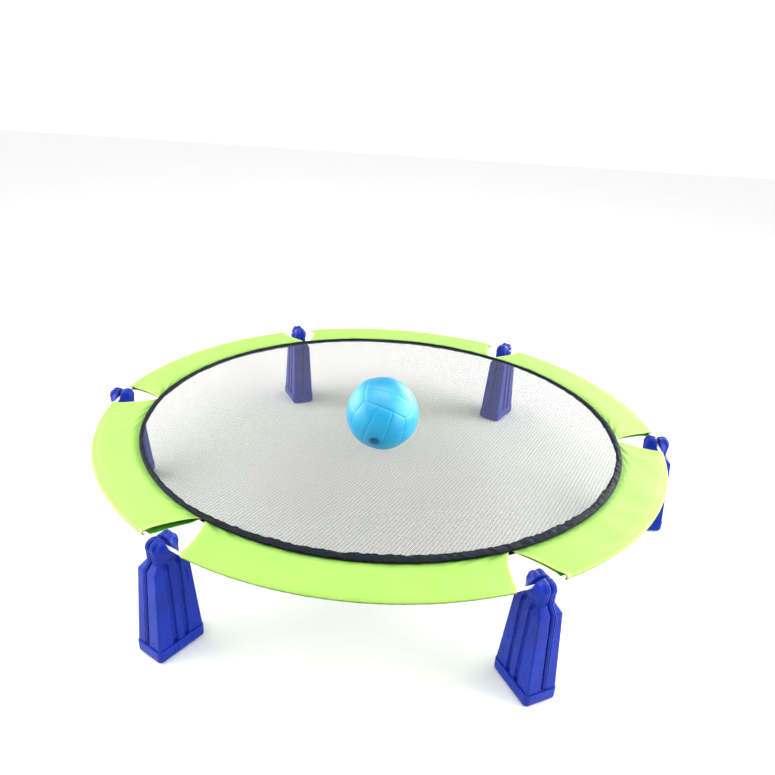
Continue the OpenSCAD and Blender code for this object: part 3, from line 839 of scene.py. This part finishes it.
def make_ball():
    """The inflated ball: six faces of three panels, with welded lines between and the valve's dish."""
    cells = PANEL_CELLS
    line = np.linspace(-1, 1, cells + 1)
    v, u = np.meshgrid(line, line, indexing="ij")
    points, faces, dish_shade = [], [], []
    for k in range(6):
        way = 1 if k < 3 else -1
        out, along, across = (np.array(PANEL_AXES[(k + n) % 3]) for n in (0, 1, 2))
        out = out * way
        ray = (out + np.tan(u * math.pi / 4)[..., None] * across
               + np.tan(v * math.pi / 4)[..., None] * along)
        ray /= np.linalg.norm(ray, axis=-1, keepdims=True)
        gap = panel_distance(u, v)
        groove = np.exp(-(gap / GROOVE_W) ** 2)
        puff = smoothstep(0, 0.012, gap)
        soft = wave_noise(ray[..., 0] * 2 + ray[..., 2], ray[..., 1] * 2 - ray[..., 2] * 1.3, 8.5, 1.1)
        reach = BALL_REACH - GROOVE_D * groove - PANEL_PUFF * (1 - puff) + SKIN_SWAY * (soft - 0.5)
        off = np.arccos(np.clip(ray @ np.array(VALVE_DIR), -1, 1)) * BALL_R
        reach = reach - DISH_DEPTH * (1 - smoothstep(DISH_R - DISH_INNER, DISH_R + DISH_LIP, off))
        # Painted shade in and round the valve's dish
        dish_shade.append(1 - smoothstep(DISH_R - 0.001, DISH_R + 0.0022, off))
        start = len(points) * (cells + 1) ** 2
        points.append(np.array(BALL_C) + ray * reach[..., None])
        quads = np.array(grid_faces(cells + 1, cells + 1)) + start
        faces.append(quads if way > 0 else quads[:, ::-1])
    piece = add_piece("Ball_skin", np.concatenate([p.reshape(-1, 3) for p in points]),
                      np.concatenate(faces).tolist(), "ball")
    add_painted_light(piece, np.repeat(np.concatenate([d.ravel() for d in dish_shade])[:, None], 4, 1))
    join = piece.modifiers.new("Join", "WELD")
    join.merge_threshold = WELD_REACH
    apply_modifiers(piece)
    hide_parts("ball_shell")
    finish_with(piece, vinyl)


# The plug's outline in metres, from its rim in to the needle's hole: radius, height over the plug's top
PLUG_PROFILE = ((0.0061, -0.0015), (0.0061, 0.0001), (0.0059, 0.0005), (0.0053, 0.0006),
                (0.0048, 0.0003), (0.0034, 0.0002), (0.0029, 0.0005), (0.0021, 0.0005),
                (0.0015, 0.0001), (0.00125, -0.0006), (0.00125, -0.0045), (0.0002, -0.0052))
PLUG_RISE, PLUG_TURNS = 0.0003, 48


def make_valve():
    """The valve's plug: a flat head with a raised rim and the needle's hole."""
    top = BALL_REACH - DISH_DEPTH + PLUG_RISE
    turns = PLUG_TURNS
    side = VALVE_DIR.orthogonal().normalized()
    other = VALVE_DIR.cross(side)
    points = [BALL_C + VALVE_DIR * (top + h) + r * (math.cos(a) * side + math.sin(a) * other)
              for r, h in PLUG_PROFILE for a in np.arange(turns) * 2 * math.pi / turns]
    faces = [f[::-1] for f in grid_faces(len(PLUG_PROFILE), turns, wrap_columns=True)]
    piece = add_piece("Ball_plug", points, faces, "ball")
    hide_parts("ball_valve")
    finish_with(piece, plug)


make_ball()
make_valve()

# ---- Floor, light and camera ----
HORIZON_TOP, DOME_FROM, HORIZON_GLOW, DOME_GLOW = 0.15, 0.3, 1.1, 0.32
FRONT_FROM, FRONT_FULL, FRONT_SHARE = -0.6, -0.85, 0.25
OVERHEAD_POWER, OVERHEAD_SPREAD, OVERHEAD_LEAN = 2.25, 80, 18
FLOOR_HALF = 6
# Place, the point it faces, width and height in metres, and power in watts
DIFFUSE_BOXES = {
    "Left_softbox": ((-1.8, -0.2, 0.6), (0, 0, 0.15), (2.4, 1.2), 58),
    "Right_softbox": ((1.9, -0.1, 0.6), (0, 0, 0.15), (2.4, 1.2), 76),
}
GLOSSY_BOXES = {
    "Left_gloss": ((-1.8, 0.4, 0.8), (0, 0, 0.2), (2.6, 1.8), 74),
    "Right_gloss": ((1.8, 0.4, 0.8), (0, 0, 0.2), (2.6, 1.8), 96),
    "Back_gloss": ((1.5, 2.0, 0.95), (0.25, 0.35, 0.15), (1.7, 1.1), 52),
    "Top_gloss": ((0, 0.1, 2.3), (0, 0, 0.2), (2.0, 1.8), 40),
}

corners = [(x * FLOOR_HALF, y * FLOOR_HALF, 0) for x, y in ((-1, -1), (1, -1), (1, 1), (-1, 1))]
floor = add_piece("Floor", corners, [(0, 1, 2, 3)], None, False)
paper = Finish("White_floor", Roughness=0.9)
shade = paper.noise(3, 2)
paper.wire(Base_Color=paper.blend(shade, (0.93, 0.93, 0.93), (0.96, 0.96, 0.96)))
floor.data.materials.append(paper.material)

world = bpy.data.worlds.new("Studio")
bpy.context.scene.world = world
world.use_nodes = True
sky, join_up = world.node_tree.nodes, world.node_tree.links.new
way_in = sky.new("ShaderNodeSeparateXYZ")
join_up(sky.new("ShaderNodeTexCoord").outputs["Generated"], way_in.inputs[0])


def fade(axis, *values):
    """Light that changes along one axis of the sky: from, to, and its value at each."""
    node = sky.new("ShaderNodeMapRange")
    for n, value in enumerate(values):
        node.inputs[n + 1].default_value = value
    join_up(way_in.outputs[axis], node.inputs[0])
    return node.outputs[0]


rise = fade(2, HORIZON_TOP, DOME_FROM, HORIZON_GLOW, DOME_GLOW)
front = fade(1, FRONT_FULL, FRONT_FROM, FRONT_SHARE, 1)
glow = sky.new("ShaderNodeMath")
glow.operation = "MULTIPLY"
join_up(rise, glow.inputs[0])
join_up(front, glow.inputs[1])
join_up(glow.outputs[0], sky["Background"].inputs["Strength"])
sky["Background"].inputs["Color"].default_value = (1, 1, 1, 1)


def softbox(name, place, target, size, power):
    """A rectangular lamp that faces the target."""
    light = bpy.data.lights.new(name, "AREA")
    light.shape, light.size, light.size_y, light.energy = "RECTANGLE", *size, power
    lamp = bpy.data.objects.new(name, light)
    lamp.location = place
    lamp.rotation_euler = (Vector(target) - Vector(place)).to_track_quat("-Z", "Y").to_euler()
    bpy.context.collection.objects.link(lamp)
    return lamp


overhead = bpy.data.objects.new("Overhead", bpy.data.lights.new("Overhead", "SUN"))
overhead.data.energy, overhead.data.angle = OVERHEAD_POWER, math.radians(OVERHEAD_SPREAD)
overhead.rotation_euler = (math.radians(OVERHEAD_LEAN), 0, 0)
bpy.context.collection.objects.link(overhead)
for name, settings in DIFFUSE_BOXES.items():
    softbox(name, *settings).visible_glossy = False
for name, settings in GLOSSY_BOXES.items():
    softbox(name, *settings).visible_diffuse = False

scene = bpy.context.scene
scene.view_settings.view_transform = "Standard"
scene.view_settings.look = "None"

CAMERA_DISTANCE, CAMERA_TILT, CAMERA_TURN, CAMERA_ROLL = 1.1523, 26.25, 4.44, 3.23
LENS_LENGTH, LENS_SENSOR, LENS_SHIFT = 32.185, 36, (0.00707, 0.0404)
tilt, roll = math.radians(CAMERA_TILT), math.radians(CAMERA_ROLL)
turned = Matrix.Rotation(math.radians(CAMERA_TURN), 3, "Z")
ahead = turned @ Vector((0, math.cos(tilt), -math.sin(tilt)))
right = turned @ Vector((1, 0, 0))
up = turned @ Vector((0, math.sin(tilt), math.cos(tilt)))
right, up = (math.cos(roll) * right + math.sin(roll) * up,
             math.cos(roll) * up - math.sin(roll) * right)
lens = bpy.data.cameras.new("Camera")
lens.lens, lens.sensor_width = LENS_LENGTH, LENS_SENSOR
lens.shift_x, lens.shift_y = LENS_SHIFT
camera = bpy.data.objects.new("Camera", lens)
bpy.context.collection.objects.link(camera)
facing = Matrix((right, up, -ahead)).transposed().to_4x4()
camera.matrix_world = Matrix.Translation(Vector((0, 0, WIRE_H)) - CAMERA_DISTANCE * ahead) @ facing
scene.camera = camera
